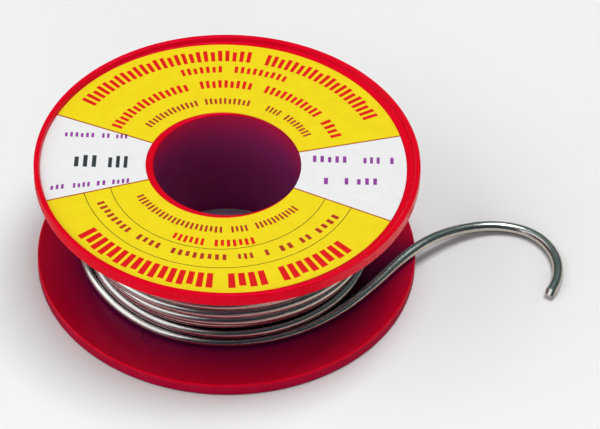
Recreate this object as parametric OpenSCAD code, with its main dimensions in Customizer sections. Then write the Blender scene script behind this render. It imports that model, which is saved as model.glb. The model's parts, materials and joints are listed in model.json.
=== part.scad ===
// Small spool of solder wire, lying flat: a two-piece moulded plastic reel with a
// double-walled hub, a paper label in the recess of its upper flange, and a 2 mm
// soft-solder wire wound on the drum, with its free end curling out at the side.
// Units are millimetres. The spool's axis is Z and it stands on z = 0.

/* [Reel] */
// Outer diameter of both flanges
flange_d = 70; // [66:0.5:76]
// Height from the lower bead to the upper bead
reel_h = 25; // [23:0.5:30]
// Diameter of the hole for the spindle
bore_d = 26.8; // [22:0.2:28]
// Diameter of the drum that the wire is wound on
drum_d = 40; // [38:0.5:42]
// Height of a flange's outer edge
edge_h = 2.5; // [2:0.1:3]

/* [Flange details] */
// Depth of the recess inside each bead
recess_depth = 0.95; // [0.4:0.05:1.2]
// Width of the raised bead round a flange
bead_w = 1; // [0.8:0.1:1.6]
// Radius of the rounded edges
edge_r = 0.3; // [0.1:0.05:0.35]
// Diameter of the ejector marks on the lower flange
ejector_d = 5; // [3:0.5:6]

/* [Hub walls] */
// Wall of the tube round the bore
bore_wall = 1.8; // [1.2:0.1:2.2]
// Wall of the drum and of the collar that plugs it
drum_wall = 1.6; // [1:0.1:2]
// Thickness of the ribs between the two walls
rib_t = 1.2; // [0.8:0.1:2]
// How far the upper flange's collar reaches into the drum
collar_h = 3; // [2:0.5:6]

/* [Label] */
// Outer diameter of the label
label_od = 66.4; // [60:0.2:66.6]
// Diameter of the hole in the label
label_id = 28.2; // [28.2:0.2:34]
// Thickness of the label
label_t = 0.12; // [0.08:0.01:0.3]

/* [Wire] */
// Diameter of the solder wire
wire_d = 2; // [1.5:0.1:2]
// Outer diameter of the full layers
winding_d = 55; // [46:0.5:55]
// Outer diameter of the loose turns next to the lower flange
loose_d = 53; // [52:0.5:53]
// Height of the band of loose turns
loose_h = 5; // [4:0.5:8]

/* [Hidden] */

flange_r = flange_d / 2;
bore_r = bore_d / 2;
drum_r = drum_d / 2;
bore_tube_r = bore_r + bore_wall;
cavity_r = drum_r - drum_wall;
bead_r = flange_r - bead_w;
bead_slope = 0.2;
bore_edge_r = 0.4;
collar_wall = 1.2;
collar_lead = 0.4;
rib_count = 6;
rib_bite = 0.3;
ejector_count = 4;
ejector_r = 25.7;
ejector_angle = -118;
ejector_depth = 0.08;
label_shift = [-0.7, -0.3];
round_fn = 180;
arc_steps = 5;
tail_sides = 8;

// Where the free end runs, from the loose turn to the cut: over the edge of the
// lower flange, down to the surface that the spool stands on, and round a curl.
tail_route = [
    [24.2, -13.2, 3.55],
    [27.4, -9.2, 3.55],
    [29.8, -6.0, 3.55],
    [32.2, -2.7, 3.55],
    [34.8, 0.3, 3.55],
    [37.6, 3.0, 3.35],
    [40.7, 5.5, 2.8],
    [44.1, 7.6, 2.1],
    [47.8, 9.1, 1.5],
    [51.7, 9.5, 1.15],
    [55.5, 8.7, 1.05],
    [58.7, 6.4, 1.05],
    [60.8, 3.0, 1.05],
    [61.6, -0.9, 1.05],
    [61.1, -4.8, 1.05],
    [59.8, -7.7, 1.05]
];

// Points of a round edge about [x, z], from one angle to another
function arc(x, z, radius, from, to) = [
    for (i = [0:arc_steps])
        let (a = from + (to - from) * i / arc_steps)
            [x + radius * cos(a), z + radius * sin(a)]
];

// One flange's rim as an outline from the recess floor, round the bead and the outer
// edge, to the face that the wire lies against. The bead's top is at z = 0.
function rim_outline() = concat(
    [[bead_r - bead_slope, recess_depth]],
    arc(bead_r + edge_r, edge_r, edge_r, 180, 270),
    arc(flange_r - edge_r, edge_r, edge_r, 270, 360),
    arc(flange_r - edge_r, edge_h - edge_r, edge_r, 0, 90)
);

// The rounded lower end of the bore tube, which is level with the bead
function bore_mouth() = arc(bore_r + bore_edge_r, bore_edge_r, bore_edge_r, 180, 270);

// An outline turned upside down, so that its z = 0 becomes the top of the reel
function flipped(points) = [for (i = [len(points) - 1:-1:0]) [points[i][0], reel_h - points[i][1]]];

module ribs() {
    rib_len = cavity_r - bore_tube_r + 2 * rib_bite;
    rib_h = reel_h - edge_h - collar_h - edge_h;
    for (i = [0:rib_count - 1])
        rotate([0, 0, i * 360 / rib_count])
            translate([bore_tube_r - rib_bite, -rib_t / 2, edge_h - rib_bite])
                cube([rib_len, rib_t, rib_h]);
}

module ejector_marks() {
    for (i = [0:ejector_count - 1])
        rotate([0, 0, ejector_angle + i * 360 / ejector_count])
            translate([ejector_r, 0, edge_h - ejector_depth])
                cylinder(h = edge_h, d = ejector_d, $fn = 48);
}

// Lower flange, drum and bore tube in one moulding. The drum is hollow, and open at
// the top until the upper flange is pressed on.
module spool_body() {
    floor_top = reel_h - recess_depth;
    drum_top = reel_h - edge_h;
    color([0.82, 0.03, 0.1])
        difference() {
            union() {
                rotate_extrude($fn = round_fn)
                    polygon(concat(
                        bore_mouth(),
                        [[bore_tube_r, 0], [bore_tube_r, recess_depth]],
                        rim_outline(),
                        [
                            [drum_r, edge_h],
                            [drum_r, drum_top],
                            [cavity_r, drum_top],
                            [cavity_r, edge_h],
                            [bore_tube_r, edge_h],
                            [bore_tube_r, floor_top]
                        ],
                        arc(bore_r + bore_edge_r, floor_top - bore_edge_r, bore_edge_r, 90, 180)
                    ));
                ribs();
            }
            ejector_marks();
        }
}

// Upper flange, a ring pressed over the end of the bore tube. Its collar plugs the drum.
module top_flange() {
    collar_top = reel_h - edge_h;
    collar_end = collar_top - collar_h;
    color([0.86, 0.03, 0.12])
        rotate_extrude($fn = round_fn)
            polygon(concat(
                flipped(rim_outline()),
                [
                    [bore_tube_r, reel_h - recess_depth],
                    [bore_tube_r, collar_top],
                    [cavity_r - collar_wall, collar_top],
                    [cavity_r - collar_wall, collar_end],
                    [cavity_r - collar_lead, collar_end],
                    [cavity_r, collar_end + collar_lead],
                    [cavity_r, collar_top]
                ]
            ));
}

// Printed paper ring stuck in the recess of the upper flange, a little off centre
module front_label() {
    color([0.96, 0.86, 0.12])
        translate([label_shift[0], label_shift[1], reel_h - recess_depth])
            linear_extrude(label_t)
                difference() {
                    circle(d = label_od, $fn = round_fn);
                    circle(d = label_id, $fn = round_fn);
                }
}

// The space that the wound turns fill: full layers above, loose turns at the drum's foot
module solder_winding() {
    color([0.62, 0.62, 0.6])
        rotate_extrude($fn = round_fn)
            polygon([
                [drum_r, edge_h],
                [loose_d / 2, edge_h],
                [loose_d / 2, edge_h + loose_h],
                [winding_d / 2, edge_h + loose_h],
                [winding_d / 2, reel_h - edge_h],
                [drum_r, reel_h - edge_h]
            ]);
}

function unit(v) = v / norm(v);

// Direction of a route at one of its points
function heading(route, i) = unit(route[min(i + 1, len(route) - 1)] - route[max(i - 1, 0)]);

// One ring of a tube, square to the direction that it runs in
function ring(centre, along, radius) =
    let (side = unit(cross([0, 0, 1], along)), up = cross(along, side))
        [for (k = [0:tail_sides - 1])
            let (a = 360 * (k + 0.5) / tail_sides)
                centre + radius * (cos(a) * side + sin(a) * up)];

// A solid round tube along a route, with a flat end at each side
module tube(route, radius) {
    rings = len(route);
    points = [for (i = [0:rings - 1]) each ring(route[i], heading(route, i), radius)];
    near_end = [for (k = [0:tail_sides - 1]) k];
    far_end = [for (k = [tail_sides - 1:-1:0]) (rings - 1) * tail_sides + k];
    walls = [
        for (i = [0:rings - 2], k = [0:tail_sides - 1])
            let (next = (k + 1) % tail_sides)
                [
                    i * tail_sides + next,
                    i * tail_sides + k,
                    (i + 1) * tail_sides + k,
                    (i + 1) * tail_sides + next
                ]
    ];
    polyhedron(points = points, faces = concat([near_end], [far_end], walls), convexity = 4);
}

// The free end of the wire
module solder_tail() {
    color([0.66, 0.67, 0.65])
        tube(tail_route, wire_d / 2);
}

spool_body();
top_flange();
front_label();
solder_winding();
solder_tail();
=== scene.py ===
"""A small reel of soft-solder wire, lying flat, with the wire's free end curling out at the side.

Sizes are in millimetres unless a name ends in _m, and turn into metres where meshes are made.
Angles are in degrees, counter-clockwise from +X as seen from above.
"""
import json
import math

import bpy
import numpy as np
from mathutils import Matrix, Vector


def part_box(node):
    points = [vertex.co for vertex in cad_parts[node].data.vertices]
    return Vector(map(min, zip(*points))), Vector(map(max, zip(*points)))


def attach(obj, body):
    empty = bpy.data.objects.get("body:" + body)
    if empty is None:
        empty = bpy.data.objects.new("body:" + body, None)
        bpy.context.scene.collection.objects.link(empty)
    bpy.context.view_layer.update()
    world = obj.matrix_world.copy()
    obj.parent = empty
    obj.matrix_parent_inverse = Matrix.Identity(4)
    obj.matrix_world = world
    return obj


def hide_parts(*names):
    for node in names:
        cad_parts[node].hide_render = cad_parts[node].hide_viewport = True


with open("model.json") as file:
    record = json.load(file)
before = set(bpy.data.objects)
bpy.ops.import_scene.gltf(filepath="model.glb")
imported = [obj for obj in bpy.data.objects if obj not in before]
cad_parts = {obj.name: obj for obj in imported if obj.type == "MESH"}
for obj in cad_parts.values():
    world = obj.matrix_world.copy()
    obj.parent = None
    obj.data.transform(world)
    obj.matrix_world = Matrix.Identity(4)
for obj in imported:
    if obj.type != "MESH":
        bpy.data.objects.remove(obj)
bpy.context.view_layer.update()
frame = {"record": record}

MM = 0.001
BODY = "root"

# ---------------------------------------------------------------- sizes from the frame


def edges(node):
    """A CAD node's lowest and highest corners, in millimetres."""
    low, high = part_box(node)
    return low / MM, high / MM


BODY_HIGH = edges("spool_body")[1]
TOP_LOW, TOP_HIGH = edges("top_flange")
WOUND_LOW, WOUND_HIGH = edges("solder_winding")
LABEL_LOW, LABEL_HIGH = edges("front_label")
MOUNTS = {mount["name"]: mount for mount in frame["record"]["mounts"]}

FLANGE_R = BODY_HIGH.x
REEL_H = TOP_HIGH.z
LOWER_FACE = WOUND_LOW.z
UPPER_FACE = WOUND_HIGH.z
BORE_R = MOUNTS["spindle_bore"]["dims"]["r_mm"]
LABEL_CENTRE = ((LABEL_LOW.x + LABEL_HIGH.x) / 2, (LABEL_LOW.y + LABEL_HIGH.y) / 2)
LABEL_R = (LABEL_HIGH.x - LABEL_LOW.x) / 2
RECESS = REEL_H - LABEL_LOW.z
COLLAR_END = TOP_LOW.z

# Shapes that the frame doesn't state, as the CAD model has them
DRUM_R = 20.0
CAVITY_R = 18.4
BORE_TUBE_R = 15.2
BEAD_R = FLANGE_R - 1.0
BEAD_SLOPE = 0.2
EDGE_R = 0.3
BORE_EDGE_R = 0.4
COLLAR_INNER_R = 17.2
LABEL_HOLE_R = 14.1
WIRE_D = 2.0

# Corners that are sharp in the CAD model: the drum's foot, and the bore tube's lower outer edge
ROOT_R = 0.5
TUBE_EDGE_R = 0.15

# ---------------------------------------------------------------- camera

AIM = Vector((13.4, 12.5, 0.0))
CAMERA_RISE = 43.43
CAMERA_ROLL = 1.56
CAMERA_DISTANCE = 636.8
LENS = 202.56


def make_camera():
    rise = math.radians(CAMERA_RISE)
    roll = math.radians(CAMERA_ROLL)
    forward = Vector((0, math.cos(rise), -math.sin(rise)))
    level_right = Vector((1, 0, 0))
    level_up = level_right.cross(forward)
    right = level_right * math.cos(roll) + level_up * math.sin(roll)
    up = right.cross(forward)
    data = bpy.data.cameras.new("camera")
    data.lens = LENS
    data.sensor_width = 36.0
    data.clip_start = 0.01
    camera = bpy.data.objects.new("camera", data)
    turn = Matrix((right, up, -forward)).transposed()
    camera.matrix_world = Matrix.Translation((AIM - forward * CAMERA_DISTANCE) * MM) @ turn.to_4x4()
    bpy.context.scene.collection.objects.link(camera)
    bpy.context.scene.camera = camera


# ---------------------------------------------------------------- meshes


def new_piece(name, points, faces, sharp_angle=None):
    """A mesh object from points in millimetres. Edges over sharp_angle stay sharp."""
    mesh = bpy.data.meshes.new(name)
    mesh.from_pydata([[float(c) * MM for c in p] for p in points], [], faces)
    mesh.validate()
    if sharp_angle is not None:
        mesh.shade_smooth()
        mesh.set_sharp_from_angle(angle=math.radians(sharp_angle))
    piece = bpy.data.objects.new(name, mesh)
    bpy.context.scene.collection.objects.link(piece)
    return piece


def apply_modifiers(piece):
    graph = bpy.context.evaluated_depsgraph_get()
    mesh = bpy.data.meshes.new_from_object(piece.evaluated_get(graph))
    piece.modifiers.clear()
    piece.data = mesh


def arc(x, z, radius, start, end, steps=6):
    """Points of a round edge about (x, z), from one angle to another."""
    angles = [math.radians(start + (end - start) * i / steps) for i in range(steps + 1)]
    return [(x + radius * math.cos(a), z + radius * math.sin(a)) for a in angles]


def revolved(name, outline, steps=288, sharp_angle=40):
    """A closed outline of (radius, height) points turned about Z."""
    count = len(outline)
    points = []
    for i in range(steps):
        a = 2 * math.pi * i / steps
        points += [(r * math.cos(a), r * math.sin(a), z) for r, z in outline]
    faces = []
    for i in range(steps):
        j = (i + 1) % steps
        for k in range(count):
            m = (k + 1) % count
            faces.append((i * count + k, j * count + k, j * count + m, i * count + m))
    return new_piece(name, points, faces, sharp_angle)


# ---------------------------------------------------------------- solder wire

STEPS_PER_TURN = 96
TUBE_SIDES = 16

# How the wire is wound: turns still to come, height of the wire's middle, its radius.
# Four passes over the drum, up, halfway down, up and down again, then three loose turns.
WINDING = [
    (28.8, 3.6, 21.0),
    (19.9, 21.4, 21.0),
    (19.6, 21.4, 22.85),
    (14.4, 10.9, 22.85),
    (14.05, 11.3, 24.65),
    (9.1, 21.4, 24.65),
    (8.8, 21.4, 26.45),
    (5.2, 14.3, 26.4),
    (4.4, 13.9, 26.4),
    (4.31, 13.7, 26.4),
    (4.27, 12.1, 26.4),
    (4.1, 12.4, 26.4),
    (3.4, 11.8, 26.35),
    (3.31, 11.6, 26.35),
    (3.28, 9.7, 26.3),
    (3.25, 9.2, 26.3),
    (3.2, 10.0, 25.7),
    (3.13, 10.8, 25.6),
    (3.02, 10.2, 25.9),
    (2.4, 7.7, 24.5),
    (2.28, 7.6, 24.5),
    (2.24, 8.0, 25.1),
    (2.2, 8.3, 25.2),
    (2.13, 8.8, 25.2),
    (2.05, 8.2, 25.2),
    (1.6, 5.9, 25.2),
    (1.37, 5.55, 24.9),
    (1.3, 5.5, 24.8),
    (1.24, 5.5, 24.9),
    (1.17, 5.55, 25.05),
    (1.05, 5.5, 25.2),
    (0.95, 4.7, 25.6),
    (0.8, 3.9, 25.9),
    (0.6, 3.6, 26.7),
    (0.5, 3.55, 27.1),
    (0.42, 3.55, 27.1),
    (0.36, 3.55, 26.0),
    (0.32, 3.55, 25.55),
    (0.24, 3.55, 25.5),
    (0.17, 3.55, 25.25),
    (0.1, 3.55, 25.45),
    (0.05, 3.55, 26.0),
    (0.0, 3.55, 27.57),
]

# The free end, over the lower flange's edge, down to the floor and round a curl
TAIL_ROUTE = [
    (24.2, -13.2, 3.55),
    (27.4, -9.2, 3.55),
    (29.8, -6.0, 3.55),
    (32.2, -2.7, 3.55),
    (34.8, 0.3, 3.55),
    (37.6, 3.0, 3.35),
    (40.7, 5.5, 2.8),
    (44.1, 7.6, 2.1),
    (47.8, 9.1, 1.5),
    (51.7, 9.5, 1.15),
    (55.5, 8.7, 1.05),
    (58.7, 6.4, 1.05),
    (60.8, 3.0, 1.05),
    (61.6, -0.9, 1.05),
    (61.1, -4.8, 1.05),
    (59.8, -7.7, 1.05),
]

# How the turns settle: the pull to their planned places, the stiffness of the wire, the share of
# an overlap that each of two turns gives way, the gap they end with, and their slack at the walls
SETTLE_ROUNDS = 500
PULL = 0.03
STIFFNESS = 0.3
GIVE_WAY = 0.45
SETTLE_GAP = 1.015 * WIRE_D
DRUM_SLACK = 0.01
FLANGE_SLACK = 0.02

# The last turns to come that keep exactly to the plan
LAID_BY_HAND = 0.95

# How far the plan's corners are rounded, in points to each side, and rounds of rounding for the whole wire
PLAN_REACH = 5
ROUNDING_ROUNDS = 6

# The unevenness of a wound layer, as waves along the wire: size in mm, waves per turn, start
WANDER = [(0.16, 0.37, 0.4), (0.12, 1.13, 2.1), (0.08, 2.21, 4.0)]


def smoothed(values, reach):
    """A Hann-weighted running mean that keeps both ends where they are."""
    weights = np.hanning(2 * reach + 3)[1:-1]
    before = 2 * values[0] - values[reach:0:-1]
    after = 2 * values[-1] - values[-2:-reach - 2:-1]
    padded = np.concatenate([before, values, after])
    return np.convolve(padded, weights / weights.sum(), "valid")


def wander(to_come):
    """The small unevenness of a machine-wound layer, in millimetres."""
    turned = 2 * math.pi * to_come
    uneven = sum(size * np.sin(waves * turned + start) for size, waves, start in WANDER)
    return uneven * np.clip(to_come / 2 - 1, 0, 1)


def push_apart(radius, height):
    """Moves turns that lie closer than one wire away from each other."""
    for lag in range(STEPS_PER_TURN, len(radius), STEPS_PER_TURN):
        across = radius[lag:] - radius[:-lag]
        up = height[lag:] - height[:-lag]
        apart = np.hypot(across, up) + 1e-9
        share = GIVE_WAY * np.clip(SETTLE_GAP - apart, 0, None) / apart
        radius[lag:] += share * across
        height[lag:] += share * up
        radius[:-lag] -= share * across
        height[:-lag] -= share * up


def wound_points():
    """Middle line of the wound part: each turn is drawn to its planned place and kept off the others."""
    turns = WINDING[0][0]
    to_come = np.linspace(turns, 0, int(round(turns * STEPS_PER_TURN)) + 1)
    plan = np.array(sorted(WINDING))
    planned_r = smoothed(np.interp(to_come, plan[:, 0], plan[:, 2]), PLAN_REACH)
    planned_z = smoothed(np.interp(to_come, plan[:, 0], plan[:, 1]), PLAN_REACH) + wander(to_come)
    radius, height = planned_r.copy(), planned_z.copy()
    by_hand = to_come < LAID_BY_HAND
    lowest = LOWER_FACE + WIRE_D / 2 + FLANGE_SLACK
    highest = UPPER_FACE - WIRE_D / 2 - FLANGE_SLACK
    for i in range(SETTLE_ROUNDS):
        free = 1 - i / SETTLE_ROUNDS
        radius -= PULL * free * np.clip(radius - planned_r, -1, 1)
        height -= PULL * free * (height - planned_z)
        for values in (radius, height):
            values[1:-1] += STIFFNESS * free * (0.5 * (values[2:] + values[:-2]) - values[1:-1])
        push_apart(radius, height)
        radius = np.maximum(radius, DRUM_R + WIRE_D / 2 + DRUM_SLACK)
        height = np.clip(height, lowest, highest)
        radius[by_hand] = planned_r[by_hand]
        height[by_hand] = planned_z[by_hand]
    last_x, last_y, _ = TAIL_ROUTE[0]
    angle = math.atan2(last_y, last_x) - 2 * math.pi * to_come
    return np.stack([radius * np.cos(angle), radius * np.sin(angle), height], axis=1)


def tail_points(steps=4):
    """A smooth curve through the free end's route, without its first point."""
    route = np.array(TAIL_ROUTE)
    ends = np.concatenate([[2 * route[0] - route[1]], route, [2 * route[-1] - route[-2]]])
    points = []
    for a, b, c, d in zip(ends, ends[1:], ends[2:], ends[3:]):
        for i in range(1, steps + 1):
            t = i / steps
            bend = (2 * a - 5 * b + 4 * c - d) * t ** 2 + (3 * b - a - 3 * c + d) * t ** 3
            points.append(b + 0.5 * ((c - a) * t + bend))
    return np.array(points)


def unit_rows(rows):
    return rows / np.linalg.norm(rows, axis=1, keepdims=True)


def make_wire():
    centres = np.concatenate([wound_points(), tail_points()])
    for _ in range(ROUNDING_ROUNDS):
        centres[1:-1] += 0.25 * (centres[2:] + centres[:-2] - 2 * centres[1:-1])
    along = unit_rows(np.gradient(centres, axis=0))
    side = unit_rows(np.cross([0.0, 0.0, 1.0], along))
    upward = np.cross(along, side)
    turns = 2 * np.pi * np.arange(TUBE_SIDES) / TUBE_SIDES
    spokes = np.cos(turns)[:, None, None] * side + np.sin(turns)[:, None, None] * upward
    rings = centres[None] + spokes * WIRE_D / 2
    points = rings.transpose(1, 0, 2).reshape(-1, 3).tolist()
    count = len(centres)
    faces = []
    for i in range(count - 1):
        ring, next_ring = i * TUBE_SIDES, (i + 1) * TUBE_SIDES
        for k in range(TUBE_SIDES):
            m = (k + 1) % TUBE_SIDES
            faces.append((ring + k, ring + m, next_ring + m, next_ring + k))
    faces.append(tuple(range(TUBE_SIDES - 1, -1, -1)))
    snip_end(points, faces, centres[-1], along[-1], side[-1], upward[-1], count)
    wire = new_piece("solder_wire", points, faces, sharp_angle=35)
    add_wire_map(wire, centres)
    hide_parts("solder_winding", "solder_tail")
    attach(wire, BODY)
    return wire


def snip_end(points, faces, centre, along, side, upward, count):
    """The cut: the wire pinched to a slanting ridge, as side cutters leave it."""
    ridge_width = 0.86
    ridge_height = 0.22
    ridge_drop = 0.12
    ridge_tilt = 0.1
    reach, slant = 0.75, 0.18
    ridge = []
    for k in range(TUBE_SIDES):
        a = 2 * math.pi * k / TUBE_SIDES
        across, rise = math.cos(a), math.sin(a)
        pinch = ridge_height * rise + ridge_tilt * across
        tip = centre + along * (reach + slant * across)
        point = tip + side * across * ridge_width + upward * (pinch - ridge_drop)
        ridge.append(len(points))
        points.append(point.tolist())
    last = (count - 1) * TUBE_SIDES
    for k in range(TUBE_SIDES):
        m = (k + 1) % TUBE_SIDES
        faces.append((last + k, last + m, ridge[m], ridge[k]))
    faces.append(tuple(ridge))


def add_wire_map(wire, centres):
    """UVs with u round the wire and v along it, in millimetres, for marks that follow the wire."""
    lengths = np.concatenate([[0], np.cumsum(np.linalg.norm(np.diff(centres, axis=0), axis=1))])
    layer = wire.data.uv_layers.new(name="along_wire")
    last_ring = len(centres) - 1
    for face in wire.data.polygons:
        corners = [wire.data.loops[i].vertex_index for i in face.loop_indices]
        wraps = {0, TUBE_SIDES - 1} <= {v % TUBE_SIDES for v in corners} and len(corners) == 4
        for i, v in zip(face.loop_indices, corners):
            ring, k = min(v // TUBE_SIDES, last_ring), v % TUBE_SIDES
            if wraps and k == 0:
                k = TUBE_SIDES
            layer.data[i].uv = (k / TUBE_SIDES, lengths[ring])


# ---------------------------------------------------------------- reel


def rim_outline():
    """The rim with its bead's top at z = 0, from the recess floor round to the face the wire touches.

    The corner of the recess has a small fillet, which the CAD model leaves out.
    """
    root_r = BEAD_R - BEAD_SLOPE
    root_fillet = [(-0.25, 0.0), (-0.08, -0.03), (0.02, -0.12)]
    return (
        [(root_r + r, RECESS + z) for r, z in root_fillet]
        + arc(BEAD_R + EDGE_R, EDGE_R, EDGE_R, 190, 270)
        + arc(FLANGE_R - EDGE_R, EDGE_R, EDGE_R, 270, 360)
        + arc(FLANGE_R - EDGE_R, LOWER_FACE - EDGE_R, EDGE_R, 0, 90)
    )


def flipped(outline):
    return [(r, REEL_H - z) for r, z in reversed(outline)]


def weigh_normals(piece):
    modifier = piece.modifiers.new("weights", "WEIGHTED_NORMAL")
    modifier.weight = 100
    modifier.keep_sharp = True


def ejector_cutters():
    """Discs that press the ejector marks into the face of the lower flange."""
    first = -118.0
    count = 4
    at_r = 25.7
    radius = 2.5
    depth = 0.08
    sides = 48
    points, faces = [], []
    for i in range(count):
        a = math.radians(first + 360 * i / count)
        cx, cy = at_r * math.cos(a), at_r * math.sin(a)
        start = len(points)
        for z in (LOWER_FACE - depth, LOWER_FACE + 1):
            for k in range(sides):
                b = 2 * math.pi * k / sides
                points.append((cx + radius * math.cos(b), cy + radius * math.sin(b), z))
        faces.append(tuple(range(start + sides - 1, start - 1, -1)))
        faces.append(tuple(range(start + sides, start + 2 * sides)))
        for k in range(sides):
            m = (k + 1) % sides
            faces.append((start + k, start + m, start + sides + m, start + sides + k))
    return new_piece("ejector_cutters", points, faces)


def make_spool_body():
    floor_top = REEL_H - RECESS
    outline = (
        arc(BORE_R + BORE_EDGE_R, BORE_EDGE_R, BORE_EDGE_R, 180, 270)
        + arc(BORE_TUBE_R - TUBE_EDGE_R, TUBE_EDGE_R, TUBE_EDGE_R, 270, 360, 3)
        + [(BORE_TUBE_R, RECESS)]
        + rim_outline()
        + arc(DRUM_R + ROOT_R, LOWER_FACE + ROOT_R, ROOT_R, 270, 180)
        + [(DRUM_R, UPPER_FACE), (CAVITY_R, UPPER_FACE), (CAVITY_R, LOWER_FACE), (BORE_TUBE_R, LOWER_FACE)]
        + [(BORE_TUBE_R, floor_top)]
        + arc(BORE_R + BORE_EDGE_R, floor_top - BORE_EDGE_R, BORE_EDGE_R, 90, 180)
    )
    piece = revolved("reel_body", outline)
    cutters = ejector_cutters()
    cut = piece.modifiers.new("ejector_marks", "BOOLEAN")
    cut.object = cutters
    cut.operation = "DIFFERENCE"
    cut.solver = "EXACT"
    weigh_normals(piece)
    apply_modifiers(piece)
    bpy.data.objects.remove(cutters)
    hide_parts("spool_body")
    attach(piece, BODY)
    return piece


def make_top_flange():
    outline = flipped(rim_outline()) + [
        (BORE_TUBE_R, REEL_H - RECESS),
        (BORE_TUBE_R, UPPER_FACE),
        (COLLAR_INNER_R, UPPER_FACE),
        (COLLAR_INNER_R, COLLAR_END),
        (CAVITY_R - EDGE_R, COLLAR_END),
        (CAVITY_R, COLLAR_END + EDGE_R),
        (CAVITY_R, UPPER_FACE),
    ]
    piece = revolved("reel_top_flange", outline)
    weigh_normals(piece)
    apply_modifiers(piece)
    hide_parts("top_flange")
    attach(piece, BODY)
    return piece


# ---------------------------------------------------------------- label and its print

# Angles at which the label changes from yellow to white and back
YELLOW_SECTORS = ((15.5, 158.5), (199.3, 335.5))
WHITE_SECTORS = ((158.5, 199.3), (335.5, 375.5))
INK_LIFT = 0.012
INK_DEPTH = 0.02


def on_label(radius, angle, z):
    a = math.radians(angle)
    return (LABEL_CENTRE[0] + radius * math.cos(a), LABEL_CENTRE[1] + radius * math.sin(a), z)


def make_label():
    """The paper ring. Material 0 is its yellow ground and material 1 its white sectors."""
    sectors = [(a, b, 0) for a, b in YELLOW_SECTORS] + [(a, b, 1) for a, b in WHITE_SECTORS]
    sectors.sort()
    soften = 0.03
    low, high = LABEL_LOW.z, LABEL_HIGH.z
    ring = [
        (LABEL_HOLE_R, low),
        (LABEL_HOLE_R, high - soften),
        (LABEL_HOLE_R + soften, high),
        (LABEL_R - soften, high),
        (LABEL_R, high - soften),
        (LABEL_R, low),
    ]
    stations = []
    for start, end, tint in sectors:
        steps = max(2, round(end - start))
        stations += [(start + (end - start) * i / steps, tint) for i in range(steps)]
    points = [on_label(r, a, z) for a, _ in stations for r, z in ring]
    faces, tints = [], []
    n = len(ring)
    for i, (_, tint) in enumerate(stations):
        j = (i + 1) % len(stations)
        for k in range(n):
            m = (k + 1) % n
            faces.append((i * n + k, j * n + k, j * n + m, i * n + m))
            tints.append(tint)
    label = new_piece("label_paper", points, faces, sharp_angle=30)
    label.data.polygons.foreach_set("material_index", tints)
    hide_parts("front_label")
    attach(label, BODY)
    return label


class Ink:
    """Flat shapes printed on the label in one colour, collected into one mesh."""

    def __init__(self, name):
        self.name = name
        self.points = []
        self.faces = []

    def slab(self, outer, inner):
        """A thin solid between two rows of (x, y) points of the same length."""
        n = len(outer)
        start = len(self.points)
        top = LABEL_HIGH.z + INK_LIFT
        for z in (top - INK_DEPTH, top):
            self.points += [(x, y, z) for x, y in outer]
            self.points += [(x, y, z) for x, y in inner]
        low_out, low_in, top_out, top_in = (start + i * n for i in range(4))
        for i in range(n - 1):
            self.faces.append((top_out + i, top_out + i + 1, top_in + i + 1, top_in + i))
            self.faces.append((low_in + i, low_in + i + 1, low_out + i + 1, low_out + i))
            self.faces.append((low_out + i, low_out + i + 1, top_out + i + 1, top_out + i))
            self.faces.append((top_in + i, top_in + i + 1, low_in + i + 1, low_in + i))
        self.faces.append((low_out, top_out, top_in, low_in))
        self.faces.append((top_out + n - 1, low_out + n - 1, low_in + n - 1, top_in + n - 1))

    def ring_piece(self, r_in, r_out, start, end):
        """Part of a ring about the label's middle."""
        steps = max(2, round(abs(end - start) / 1.5))
        angles = [start + (end - start) * i / steps for i in range(steps + 1)]
        outer = [on_label(r_out, a, 0)[:2] for a in angles]
        inner = [on_label(r_in, a, 0)[:2] for a in angles]
        self.slab(outer, inner)

    def box_piece(self, x0, x1, y0, y1, slope=0.0):
        """A bar between two corners, in millimetres from the label's middle, tilted by slope."""
        cx, cy = LABEL_CENTRE
        outer = [(cx + x, cy + y1 + slope * x) for x in (x0, x1)]
        inner = [(cx + x, cy + y0 + slope * x) for x in (x0, x1)]
        self.slab(outer, inner)

    def done(self, material):
        piece = new_piece(self.name, self.points, self.faces, sharp_angle=30)
        piece.data.materials.append(material)
        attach(piece, BODY)
        return piece


def bars(words, fill):
    """Each bar's start, its end, and whether it is a short one.

    A word is (start, end, number of bars), and a bar fills that share of its cell.
    """
    for start, end, count in words:
        cell = (end - start) / count
        for i in range(count):
            low = start + cell * (i + (1 - fill) / 2)
            yield low, low + cell * fill, (i * 5 + count) % 3 == 0


def bars_on_arc(ink, r_in, r_out, words, fill):
    """Placeholder print along an arc, with its words in degrees."""
    short_r = r_out - 0.12 * (r_out - r_in)
    for start, end, is_short in bars(words, fill):
        ink.ring_piece(r_in, short_r if is_short else r_out, start, end)


def bars_on_line(ink, y0, y1, slope, words, fill):
    """Placeholder print along a straight row, with its words in millimetres."""
    short_y = y1 - 0.15 * (y1 - y0)
    for start, end, is_short in bars(words, fill):
        ink.box_piece(start, end, y0, short_y if is_short else y1, slope)


def print_red_rows():
    ink = Ink("label_print_red")
    bars_on_arc(ink, 28.4, 31.4, [(26.5, 77, 20), (81.5, 149, 26)], 0.56)
    bars_on_arc(ink, 28.3, 31.9, [(217.5, 269, 16), (273, 287, 4), (291, 318, 8)], 0.66)
    bars_on_arc(ink, 25.2, 27.0, [(65, 88, 9), (92, 110, 7)], 0.52)
    bars_on_arc(ink, 20.9, 23.0, [(21, 35, 4), (39, 72, 11), (77.5, 104, 9), (109, 156, 15)], 0.54)
    bars_on_arc(ink, 19.8, 21.5, [(246, 263, 6), (267, 288, 7)], 0.52)
    return ink


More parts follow.
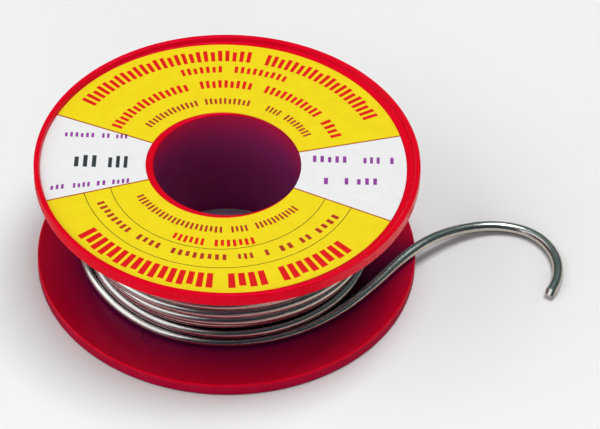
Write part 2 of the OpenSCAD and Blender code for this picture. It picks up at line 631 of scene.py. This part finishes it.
def print_small_rows():
    ink = Ink("label_print_brown")
    bars_on_arc(ink, 16.4, 18.0, [(28, 51, 8), (54.5, 65, 4), (75, 104, 10), (107.5, 146, 13)], 0.5)
    bars_on_arc(ink, 16.4, 18.0, [(210.5, 272, 21), (276, 287, 4), (291, 321, 11)], 0.5)
    small = [(206, 229, 8), (232.5, 245, 4), (249, 274, 8), (277.5, 285, 3), (289, 292, 1)]
    small += [(295.5, 303, 2), (305.5, 312, 2), (314.5, 329, 4)]
    bars_on_arc(ink, 23.5, 24.9, small, 0.5)
    return ink


def print_white_rows():
    ink = Ink("label_print_purple")
    bars_on_line(ink, 5.75, 6.95, -0.02, [(-29.4, -23.6, 6), (-22.6, -20.8, 2), (-20.0, -17.6, 3)], 0.5)
    bars_on_line(ink, -2.7, -1.5, 0.175, [(-31.0, -28.2, 3), (-27.0, -23.6, 4), (-22.8, -20.8, 2)], 0.5)
    bars_on_line(ink, -2.7, -1.5, 0.175, [(-20.0, -16.6, 4)], 0.5)
    bars_on_line(ink, 1.2, 2.9, 0.0, [(15.8, 22.6, 5), (25.0, 28.6, 3), (29.8, 31.2, 1)], 0.45)
    bars_on_line(ink, -5.0, -3.3, 0.02, [(17.8, 19.4, 1), (21.6, 23.0, 1), (23.8, 28.2, 3)], 0.45)
    return ink


def print_stamp():
    ink = Ink("label_print_stamp")
    bars_on_line(ink, -1.7, 1.4, 0.0, [(-27.4, -22.6, 3), (-21.2, -17.0, 3)], 0.48)
    return ink


def print_lines():
    """Thin lines where the sectors meet."""
    ink = Ink("label_print_lines")
    half = 0.14
    for angle in YELLOW_SECTORS[0] + YELLOW_SECTORS[1]:
        a = math.radians(angle)
        across = (-math.sin(a) * half, math.cos(a) * half)
        ends = [on_label(r, angle, 0)[:2] for r in (LABEL_HOLE_R, LABEL_R)]
        outer = [(x + across[0], y + across[1]) for x, y in ends]
        inner = [(x - across[0], y - across[1]) for x, y in ends]
        ink.slab(inner, outer)
    return ink


def print_arcs():
    """Two thin arcs across the lower sector, struck from points a little below the label's middle."""
    ink = Ink("label_print_arcs")
    start, end = YELLOW_SECTORS[1]
    half = 0.07
    steps = 68
    for middle_r, offset in ((25.3, (-0.42, -1.58)), (20.1, (-0.56, -2.1))):
        rows = []
        for side in (half, -half):
            row = []
            for i in range(steps + 1):
                a = math.radians(start + (end - start) * i / steps)
                ray = Vector((math.cos(a), math.sin(a)))
                shift = Vector(offset)
                along = ray.dot(shift)
                reach = along + math.sqrt((middle_r + side) ** 2 - shift.length_squared + along ** 2)
                point = Vector(LABEL_CENTRE) + ray * reach
                row.append((point.x, point.y))
            rows.append(row)
        ink.slab(rows[0], rows[1])
    return ink


# ---------------------------------------------------------------- materials


class Nodes:
    """A node tree, with short calls for the nodes that the materials and the room here use."""

    def __init__(self, tree):
        self.tree = tree
        self.coords = tree.nodes.new("ShaderNodeTexCoord")

    def plug(self, value, socket):
        if isinstance(value, bpy.types.NodeSocket):
            self.tree.links.new(value, socket)
        else:
            socket.default_value = value

    def math(self, operation, a, b=0.0, c=0.0):
        node = self.tree.nodes.new("ShaderNodeMath")
        node.operation = operation
        for value, socket in zip((a, b, c), node.inputs):
            self.plug(value, socket)
        return node.outputs[0]

    def stretched(self, scale, vector=None):
        node = self.tree.nodes.new("ShaderNodeMapping")
        self.plug(vector or self.coords.outputs["Object"], node.inputs["Vector"])
        node.inputs["Scale"].default_value = scale
        return node.outputs[0]

    def noise(self, scale, detail=3.0, vector=None, roughness=0.5):
        node = self.tree.nodes.new("ShaderNodeTexNoise")
        self.plug(vector or self.coords.outputs["Object"], node.inputs["Vector"])
        node.inputs["Scale"].default_value = scale
        node.inputs["Detail"].default_value = detail
        node.inputs["Roughness"].default_value = roughness
        return node.outputs["Fac"]

    def spread(self, value, low, high, to_low, to_high):
        node = self.tree.nodes.new("ShaderNodeMapRange")
        self.plug(value, node.inputs["Value"])
        for name, number in (("From Min", low), ("From Max", high), ("To Min", to_low), ("To Max", to_high)):
            node.inputs[name].default_value = number
        return node.outputs[0]

    def blend(self, factor, a, b):
        node = self.tree.nodes.new("ShaderNodeMix")
        node.data_type = "RGBA"
        self.plug(factor, node.inputs["Factor"])
        self.plug(a, node.inputs["A"])
        self.plug(b, node.inputs["B"])
        return node.outputs["Result"]

    def ramp(self, value, stops):
        """Colours along a value from 0 to 1, as (place, colour) pairs."""
        node = self.tree.nodes.new("ShaderNodeValToRGB")
        self.plug(value, node.inputs["Fac"])
        while len(node.color_ramp.elements) < len(stops):
            node.color_ramp.elements.new(1.0)
        for element, (place, colour) in zip(node.color_ramp.elements, stops):
            element.position = place
            element.color = colour
        return node.outputs["Color"]

    def openness(self, distance):
        """1 in the open and 0 deep in a gap."""
        node = self.tree.nodes.new("ShaderNodeAmbientOcclusion")
        node.samples = 8
        node.inputs["Distance"].default_value = distance
        return node.outputs["AO"]

    def radius(self):
        """Distance from the reel's axis, in metres."""
        node = self.tree.nodes.new("ShaderNodeVectorMath")
        node.operation = "LENGTH"
        self.plug(self.stretched((1, 1, 0)), node.inputs[0])
        return node.outputs["Value"]

    def along(self, vector, direction):
        """How far a vector goes in a direction."""
        node = self.tree.nodes.new("ShaderNodeVectorMath")
        node.operation = "DOT_PRODUCT"
        self.plug(vector, node.inputs[0])
        self.plug(direction, node.inputs[1])
        return node.outputs["Value"]

    def is_mirrored(self):
        """1 for rays that come from a glossy surface, and 0 for the others."""
        return self.tree.nodes.new("ShaderNodeLightPath").outputs["Is Glossy Ray"]

    def bump(self, height, distance, strength=1.0, under=None):
        node = self.tree.nodes.new("ShaderNodeBump")
        node.inputs["Distance"].default_value = distance
        node.inputs["Strength"].default_value = strength
        self.plug(height, node.inputs["Height"])
        if under is not None:
            self.plug(under, node.inputs["Normal"])
        return node.outputs["Normal"]


class Surface(Nodes):
    """A new material and its node tree."""

    def __init__(self, name):
        self.material = bpy.data.materials.new(name)
        self.material.use_nodes = True
        super().__init__(self.material.node_tree)
        self.shader = self.tree.nodes["Principled BSDF"]

    def surface(self, **values):
        """Plugs values into the shader's sockets, which are named as in specular_ior_level."""
        for key, value in values.items():
            name = key.replace("_", " ").title().replace("Ior", "IOR")
            self.plug(value, self.shader.inputs[name])


def plastic_material():
    """Glossy red polystyrene with faint turned rings and rub marks, and painted shade: dark purple in the
    gaps and a greyer purple in the bore.
    """
    m = Surface("red_polystyrene")
    # Painted shade: where ambient occlusion finds the surface hemmed in, the red turns to a painted dark
    # purple, and inside the bore to a painted greyer purple.
    open_air = m.spread(m.openness(0.03), 0.35, 0.70, 0.0, 1.0)
    mottled = m.spread(m.noise(90, 4), 0.3, 0.7, 0.0, 1.0)
    red = m.blend(mottled, (0.72, 0.0010, 0.0105, 1), (0.80, 0.0014, 0.0175, 1))
    in_bore = m.math("LESS_THAN", m.radius(), (BORE_R + BORE_EDGE_R / 2) * MM)
    shade = m.blend(in_bore, (0.085, 0.0035, 0.048, 1), (0.26, 0.026, 0.15, 1))
    colour = m.blend(open_air, shade, red)
    rub = m.spread(m.noise(1.0, 2, m.stretched((260, 4200, 2600))), 0.64, 0.72, 0.0, 1.0)
    patches = m.spread(m.noise(260, 4), 0.35, 0.7, 0.16, 0.30)
    gloss = m.math("ADD", patches, m.math("MULTIPLY", rub, 0.12))
    ring_pitch_m = 0.0006
    rings = m.math("SINE", m.math("MULTIPLY", m.radius(), 2 * math.pi / ring_pitch_m))
    grain = m.bump(m.noise(5200, 2), 0.000012)
    turned = m.bump(rings, 0.0000008, 1.0, grain)
    worn = m.bump(rub, 0.000006, 0.6, turned)
    m.surface(base_color=colour, roughness=gloss, normal=worn, ior=1.59)
    m.surface(specular_tint=(1.0, 0.05, 0.45, 1), specular_ior_level=0.22)
    m.surface(subsurface_weight=0.12, subsurface_scale=0.0025, subsurface_radius=(1.0, 0.08, 0.05))
    return m.material


def solder_material():
    """Drawn tin alloy: bright, with lines along the wire and a thin uneven tarnish, and painted shade: dark
    plum where turns crowd each other.
    """
    m = Surface("tin_copper_wire")
    mapped = m.coords.outputs["UV"]
    streaks = m.noise(1.0, 4, m.stretched((34, 0.10, 1), mapped))
    cloud = m.noise(1.0, 3, m.stretched((2.0, 0.05, 1), mapped))
    specks = m.spread(m.noise(1700, 3), 0.58, 0.72, 0.0, 1.0)
    tarnish = m.spread(cloud, 0.35, 0.7, 0.0, 1.0)
    metal = m.blend(tarnish, (0.72, 0.715, 0.69, 1), (0.52, 0.525, 0.50, 1))
    metal = m.blend(m.math("MULTIPLY", specks, 0.35), metal, (0.30, 0.29, 0.27, 1))
    # Painted shade: the metal's colour goes to a painted dark plum where ambient occlusion finds other turns
    # close by, in the gaps between turns.
    open_air = m.spread(m.openness(0.008), 0.28, 0.58, 0.0, 1.0)
    metal = m.blend(open_air, (0.11, 0.045, 0.09, 1), metal)
    rough = m.spread(streaks, 0.3, 0.7, 0.13, 0.27)
    rough = m.math("ADD", rough, m.math("MULTIPLY", tarnish, 0.06))
    lines = m.bump(streaks, 0.00004, 0.5)
    dents = m.bump(m.noise(900, 2), 0.00002, 0.5, lines)
    m.surface(base_color=metal, metallic=1.0, roughness=rough, normal=dents)
    return m.material


def paper_material(name, light, dark):
    """Coated paper: a faint mottle, fibres under the coating and a satin sheen."""
    m = Surface(name)
    mottle = m.spread(m.noise(420, 5, None, 0.6), 0.3, 0.7, 0.0, 1.0)
    fibres = m.noise(1.0, 4, m.stretched((2600, 900, 900)))
    m.surface(base_color=m.blend(mottle, dark, light))
    m.surface(roughness=m.spread(fibres, 0.3, 0.7, 0.36, 0.5), normal=m.bump(fibres, 0.00001, 0.5))
    m.surface(ior=1.45, specular_ior_level=0.3)
    return m.material


def ink_material(name, light, dark):
    """Offset ink: a little uneven in colour, and as satin as the paper."""
    m = Surface(name)
    mottle = m.spread(m.noise(1300, 4, None, 0.65), 0.35, 0.65, 0.0, 1.0)
    m.surface(base_color=m.blend(mottle, dark, light), roughness=m.spread(mottle, 0, 1, 0.36, 0.46))
    m.surface(normal=m.bump(m.noise(3000, 2), 0.000008, 0.5), specular_ior_level=0.25)
    return m.material


# ---------------------------------------------------------------- floor and light


def make_floor():
    """A pale floor, with painted shade inside the bore. Glossy surfaces see a painted reflection colour
    instead of the floor: redder by the reel and behind it, warm pale in a ring and by the tail, dark further
    off.
    """
    half = 1500.0
    z = -0.02
    corners = [(-half, -half, z), (half, -half, z), (half, half, z), (-half, half, z)]
    floor = new_piece("floor", corners, [(0, 1, 2, 3)])
    m = Surface("pale_floor")
    pale = m.blend(m.noise(6, 2), (0.95, 0.95, 0.95, 1), (0.97, 0.97, 0.97, 1))

    # Painted shade: inside the bore the floor turns to a painted dark purple towards the bore's wall.
    in_bore = m.math("LESS_THAN", m.radius(), BORE_R * MM)
    by_the_wall = m.spread(m.radius(), 0.003, 0.0125, 0.0, 1.0)
    pale = m.blend(m.math("MULTIPLY", in_bore, by_the_wall), pale, (0.30, 0.20, 0.32, 1))

    # Painted reflections: glossy rays see these colours instead of the pale floor, a red reflection near the
    # reel and behind it, a warm pale ring, a warm pale patch by the free end, and dark further off.
    painted_red_reflection = (0.45, 0.07, 0.11, 1)
    by_the_reel = (0.88, 0.75, 0.66, 1)
    dark = (0.06, 0.045, 0.05, 1)
    stops = [(0.18, painted_red_reflection), (0.195, by_the_reel), (0.215, by_the_reel), (0.25, painted_red_reflection), (1.0, dark)]
    ramp_end_m = 0.2
    mirrored = m.ramp(m.spread(m.radius(), 0.0, ramp_end_m, 0.0, 1.0), stops)
    place = m.coords.outputs["Object"]
    behind = m.spread(m.along(place, (0, 1, 0)), 0.0, 0.016, 0.0, 1.0)
    mirrored = m.blend(behind, mirrored, (0.42, 0.16, 0.18, 1))
    by_the_tail = m.spread(m.along(place, (1, 0, 0)), 0.036, 0.044, 0.0, 1.0)
    mirrored = m.blend(by_the_tail, mirrored, (0.92, 0.86, 0.76, 1))

    # Only glossy rays see the painted reflection colours; other rays see the pale floor.
    m.surface(base_color=m.blend(m.is_mirrored(), pale, mirrored), roughness=0.6)
    floor.data.materials.append(m.material)


def area_light(name, place_m, aim_m, size_m, power, colour=(1, 1, 1)):
    data = bpy.data.lights.new(name, "AREA")
    data.shape = "RECTANGLE"
    data.size, data.size_y = size_m
    data.energy = power
    data.color = colour
    lamp = bpy.data.objects.new(name, data)
    lamp.location = place_m
    lamp.rotation_euler = (Vector(aim_m) - Vector(place_m)).to_track_quat("-Z", "Y").to_euler()
    bpy.context.scene.collection.objects.link(lamp)
    return lamp


def make_world():
    """Even pale light for the matt surfaces. The glossy ones mirror a room that is darkest low in front."""
    world = bpy.data.worlds.new("studio")
    bpy.context.scene.world = world
    world.use_nodes = True
    tree = world.node_tree
    tree.nodes.clear()
    w = Nodes(tree)
    height = w.along(w.coords.outputs["Generated"], (0.0, 0.5, 1.0))
    low, high = (0.020, 0.026, 0.036, 1), (0.100, 0.155, 0.150, 1)
    room = tree.nodes.new("ShaderNodeBackground")
    w.plug(w.blend(w.spread(height, 0.1, 1.0, 0.0, 1.0), low, high), room.inputs["Color"])
    room.inputs["Strength"].default_value = 1.0
    fill = tree.nodes.new("ShaderNodeBackground")
    fill.inputs["Color"].default_value = (1.0, 1.0, 1.0, 1)
    fill.inputs["Strength"].default_value = 0.14
    mix = tree.nodes.new("ShaderNodeMixShader")
    out = tree.nodes.new("ShaderNodeOutputWorld")
    tree.links.new(w.is_mirrored(), mix.inputs[0])
    tree.links.new(fill.outputs[0], mix.inputs[1])
    tree.links.new(room.outputs[0], mix.inputs[2])
    tree.links.new(mix.outputs[0], out.inputs["Surface"])


def make_lights():
    """Four soft boxes. The two that only fill in shade don't show in glossy surfaces."""
    middle = (0.0, 0.0, 0.012)
    area_light("key_left", (-0.60, -0.17, 0.42), middle, (1.05, 0.80), 3.6)
    area_light("overhead", (0.15, 0.12, 0.85), middle, (0.36, 0.50), 4.1)
    front = area_light("front_fill", (0.12, -0.75, 0.26), middle, (0.90, 0.40), 1.7)
    front.visible_glossy = False
    right = area_light("right_fill", (0.70, 0.10, 0.30), middle, (0.60, 0.40), 0.6)
    right.visible_glossy = False


def set_view():
    scene = bpy.context.scene
    scene.view_settings.view_transform = "Standard"
    scene.view_settings.look = "None"


# ---------------------------------------------------------------- the scene

make_camera()
wire = make_wire()
wire.data.materials.append(solder_material())

red_plastic = plastic_material()
for reel_part in (make_spool_body(), make_top_flange()):
    reel_part.data.materials.clear()
    reel_part.data.materials.append(red_plastic)

label = make_label()
label.data.materials.append(paper_material("yellow_paper", (0.94, 0.76, 0.006, 1), (0.90, 0.70, 0.005, 1)))
label.data.materials.append(paper_material("white_paper", (0.90, 0.90, 0.905, 1), (0.86, 0.86, 0.87, 1)))

red_ink = ink_material("red_ink", (0.82, 0.007, 0.005, 1), (0.72, 0.006, 0.005, 1))
brown_ink = ink_material("brown_ink", (0.50, 0.035, 0.012, 1), (0.40, 0.028, 0.012, 1))
purple_ink = ink_material("purple_ink", (0.33, 0.055, 0.38, 1), (0.25, 0.04, 0.30, 1))
stamp_ink = ink_material("stamp_ink", (0.022, 0.03, 0.036, 1), (0.05, 0.06, 0.066, 1))
line_ink = ink_material("line_ink", (0.50, 0.10, 0.012, 1), (0.40, 0.08, 0.012, 1))
olive_ink = ink_material("olive_ink", (0.16, 0.12, 0.01, 1), (0.11, 0.08, 0.01, 1))
print_red_rows().done(red_ink)
print_small_rows().done(brown_ink)
print_white_rows().done(purple_ink)
print_stamp().done(stamp_ink)
print_lines().done(line_ink)
print_arcs().done(olive_ink)

make_floor()
make_world()
make_lights()
set_view()

bpy.context.view_layer.update()
